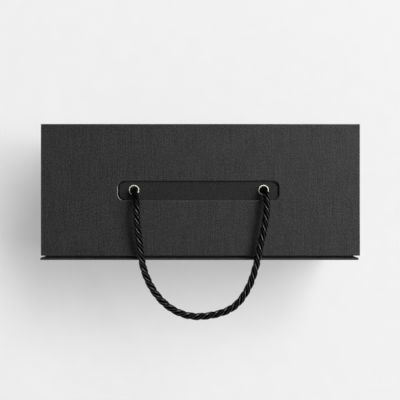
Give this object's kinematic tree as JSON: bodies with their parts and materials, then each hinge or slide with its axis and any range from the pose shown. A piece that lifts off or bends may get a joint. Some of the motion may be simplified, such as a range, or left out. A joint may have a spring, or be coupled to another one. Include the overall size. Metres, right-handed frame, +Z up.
{
  "type": "sliding drawer gift box",
  "caption": "Rigid rectangular gift box: a wrapped sleeve with a drawer that slides out of its front and a twisted rope handle set in a long slot on top.",
  "frame": {"origin": "bottom centre of the footprint, the sleeve and the drawer's front together", "axes": "+X along the box to its right, +Y from the drawer's front to the sleeve's back, +Z up"},
  "size_m": [0.3005, 0.1833, 0.1246],
  "materials": {
    "linen_paper": "embossed linen, matt",
    "black_paper": "uncoated",
    "greyboard": "raw",
    "eyelet_metal": "nickel plated, polished",
    "rope": "silky three-strand twist"
  },
  "bodies": {
    "sleeve": {"sleeve_top_board": "greyboard", "recess_facing": "linen_paper", "handle_board": "greyboard", "sleeve_bottom_board": "greyboard", "sleeve_left_board": "greyboard", "sleeve_right_board": "greyboard", "sleeve_back_board": "greyboard", "sleeve_wrap": "linen_paper", "sleeve_base_sheet": "linen_paper", "sleeve_lining": "black_paper", "left_eyelet": "eyelet_metal", "right_eyelet": "eyelet_metal", "left_eyelet_washer": "eyelet_metal", "right_eyelet_washer": "eyelet_metal", "left_rope_end": "rope", "right_rope_end": "rope", "left_knot": "rope", "right_knot": "rope"},
    "drawer": {"drawer_front_board": "greyboard", "drawer_front_wrap": "linen_paper", "tray_bottom_board": "greyboard", "tray_left_wall": "greyboard", "tray_right_wall": "greyboard", "tray_front_wall": "greyboard", "tray_back_wall": "greyboard", "tray_wrap": "black_paper", "tray_lining": "black_paper"},
    "handle": {"rope_handle": "rope"}
  },
  "joints": [
    {"name": "drawer_slide", "type": "slide", "parent": "sleeve", "child": "drawer", "axis": [0, -1, 0], "range_m": [0, 0.1]},
    {"name": "handle_swing", "type": "hinge", "parent": "sleeve", "child": "handle", "pos_m": [-0.0015, 0.0021, 0.1136], "axis": [-1, 0, 0], "range_deg": [0, 140]}
  ]
}
